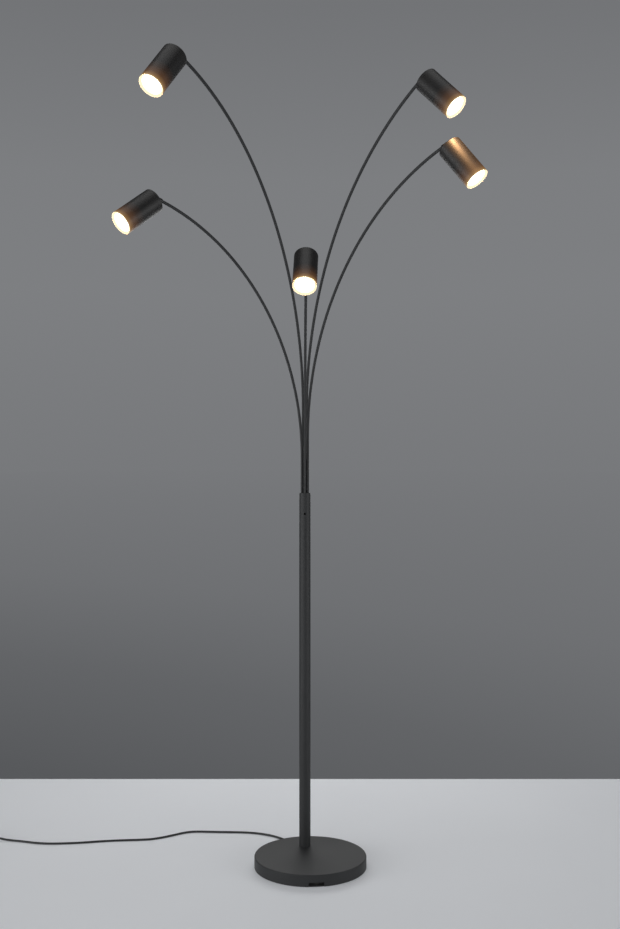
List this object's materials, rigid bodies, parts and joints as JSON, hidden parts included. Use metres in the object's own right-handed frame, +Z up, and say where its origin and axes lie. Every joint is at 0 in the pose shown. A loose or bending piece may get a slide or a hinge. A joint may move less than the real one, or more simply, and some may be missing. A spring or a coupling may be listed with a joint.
{
  "type": "tree floor lamp",
  "caption": "Floor lamp: round weighted base, straight pole standing off centre, thin bent arms fanning out of its top, each with a can-shaped spot head that swivels and tilts.",
  "frame": {"origin": "centre of the base's underside, on the floor", "axes": "+Z up along the pole, -Y towards the front, where the arms lean; +X to the right seen from the front"},
  "size_m": [1.5054, 0.9685, 2.0049],
  "materials": {
    "black_powder_coat": "satin",
    "head_powder_coat": "satin",
    "black_steel": "satin",
    "cast_iron": "matte",
    "foam_pad": "matte",
    "zinc_steel": "satin",
    "black_plastic": "matte",
    "switch_button": "satin",
    "cord_rubber": "satin",
    "tie_fabric": "matte",
    "pin_brass": "satin",
    "white_ceramic": "matte",
    "lit_lamp": "gloss"
  },
  "bodies": {
    "stand": {"base_cover": "black_powder_coat", "base_weight": "cast_iron", "base_pad": "foam_pad", "pole_tube": "black_powder_coat", "pole_foot_insert": "zinc_steel", "pole_stud": "zinc_steel", "stud_nut": "zinc_steel", "arm_socket": "black_powder_coat", "grub_screw": "black_steel", "lead_junction": "black_plastic", "arm_leads": "cord_rubber", "cord_inner": "cord_rubber", "cord_outlet_sleeve": "black_plastic", "cord_clamp": "black_plastic", "cord_to_switch": "cord_rubber", "cord_to_coil": "cord_rubber", "cord_coil": "cord_rubber", "cord_tie": "tie_fabric", "cord_to_plug": "cord_rubber", "plug_body": "black_plastic", "plug_pins": "pin_brass", "switch_tray": "black_plastic", "switch_cover": "black_plastic", "arm_rod_upper_left": "black_powder_coat", "arm_rod_lower_left": "black_powder_coat", "arm_rod_centre": "black_powder_coat", "arm_rod_lower_right": "black_powder_coat", "arm_rod_upper_right": "black_powder_coat"},
    "foot_button": {"switch_button": "switch_button"},
    "knuckle_upper_left": {"arm_tip_upper_left": "black_steel"},
    "head_upper_left": {"head_fork_upper_left": "black_steel", "head_fixings_upper_left": "black_steel", "head_shell_upper_left": "head_powder_coat", "lamp_holder_upper_left": "white_ceramic", "lamp_bulb_upper_left": "lit_lamp"},
    "knuckle_lower_left": {"arm_tip_lower_left": "black_steel"},
    "head_lower_left": {"head_fork_lower_left": "black_steel", "head_fixings_lower_left": "black_steel", "head_shell_lower_left": "head_powder_coat", "lamp_holder_lower_left": "white_ceramic", "lamp_bulb_lower_left": "lit_lamp"},
    "knuckle_centre": {"arm_tip_centre": "black_steel"},
    "head_centre": {"head_fork_centre": "black_steel", "head_fixings_centre": "black_steel", "head_shell_centre": "head_powder_coat", "lamp_holder_centre": "white_ceramic", "lamp_bulb_centre": "lit_lamp"},
    "knuckle_lower_right": {"arm_tip_lower_right": "black_steel"},
    "head_lower_right": {"head_fork_lower_right": "black_steel", "head_fixings_lower_right": "black_steel", "head_shell_lower_right": "head_powder_coat", "lamp_holder_lower_right": "white_ceramic", "lamp_bulb_lower_right": "lit_lamp"},
    "knuckle_upper_right": {"arm_tip_upper_right": "black_steel"},
    "head_upper_right": {"head_fork_upper_right": "black_steel", "head_fixings_upper_right": "black_steel", "head_shell_upper_right": "head_powder_coat", "lamp_holder_upper_right": "white_ceramic", "lamp_bulb_upper_right": "lit_lamp"}
  },
  "joints": [
    {"name": "swivel_upper_left", "type": "hinge", "parent": "stand", "child": "knuckle_upper_left", "pos_m": [-0.28952, -0.49708, 1.98654], "axis": [-0.4184, -0.8892, 0.1853], "range_deg": [-120, 120]},
    {"name": "tilt_upper_left", "type": "hinge", "parent": "knuckle_upper_left", "child": "head_upper_left", "pos_m": [-0.29622, -0.5113, 1.98951], "axis": [0.8728, -0.4501, -0.1887], "range_deg": [-63.2, 26.8]},
    {"name": "swivel_lower_left", "type": "hinge", "parent": "stand", "child": "knuckle_lower_left", "pos_m": [-0.36073, -0.28323, 1.71446], "axis": [-0.6745, -0.6985, 0.2391], "range_deg": [-120, 120]},
    {"name": "tilt_lower_left", "type": "hinge", "parent": "knuckle_lower_left", "child": "head_lower_left", "pos_m": [-0.37152, -0.2944, 1.71829], "axis": [0.6836, -0.7132, -0.1549], "range_deg": [-51.5, 38.5]},
    {"name": "swivel_centre", "type": "hinge", "parent": "stand", "child": "knuckle_centre", "pos_m": [-0.01047, -0.20902, 1.58829], "axis": [0.0138, -0.7889, 0.6144], "range_deg": [-120, 120]},
    {"name": "tilt_centre", "type": "hinge", "parent": "knuckle_centre", "child": "head_centre", "pos_m": [-0.01025, -0.22164, 1.59812], "axis": [0.9993, -0.0101, -0.0354], "range_deg": [-88, 2]},
    {"name": "swivel_lower_right", "type": "hinge", "parent": "stand", "child": "knuckle_lower_right", "pos_m": [0.31569, -0.31851, 1.8344], "axis": [0.6128, -0.7303, 0.3019], "range_deg": [-120, 120]},
    {"name": "tilt_lower_right", "type": "hinge", "parent": "knuckle_lower_right", "child": "head_lower_right", "pos_m": [0.3255, -0.33019, 1.83923], "axis": [0.6976, 0.6794, 0.2274], "range_deg": [-71, 19]},
    {"name": "swivel_upper_right", "type": "hinge", "parent": "stand", "child": "knuckle_upper_right", "pos_m": [0.2584, -0.33817, 1.98431], "axis": [0.4972, -0.7656, 0.4083], "range_deg": [-120, 120]},
    {"name": "tilt_upper_right", "type": "hinge", "parent": "knuckle_upper_right", "child": "head_upper_right", "pos_m": [0.26635, -0.35042, 1.99084], "axis": [0.727, 0.6244, 0.2856], "range_deg": [-72.8, 17.2]},
    {"name": "switch_press", "type": "slide", "parent": "stand", "child": "foot_button", "axis": [0, 0, -1], "range_m": [0, 0.003], "stiffness_N_per_m": 600, "springref_m": -0.001}
  ]
}
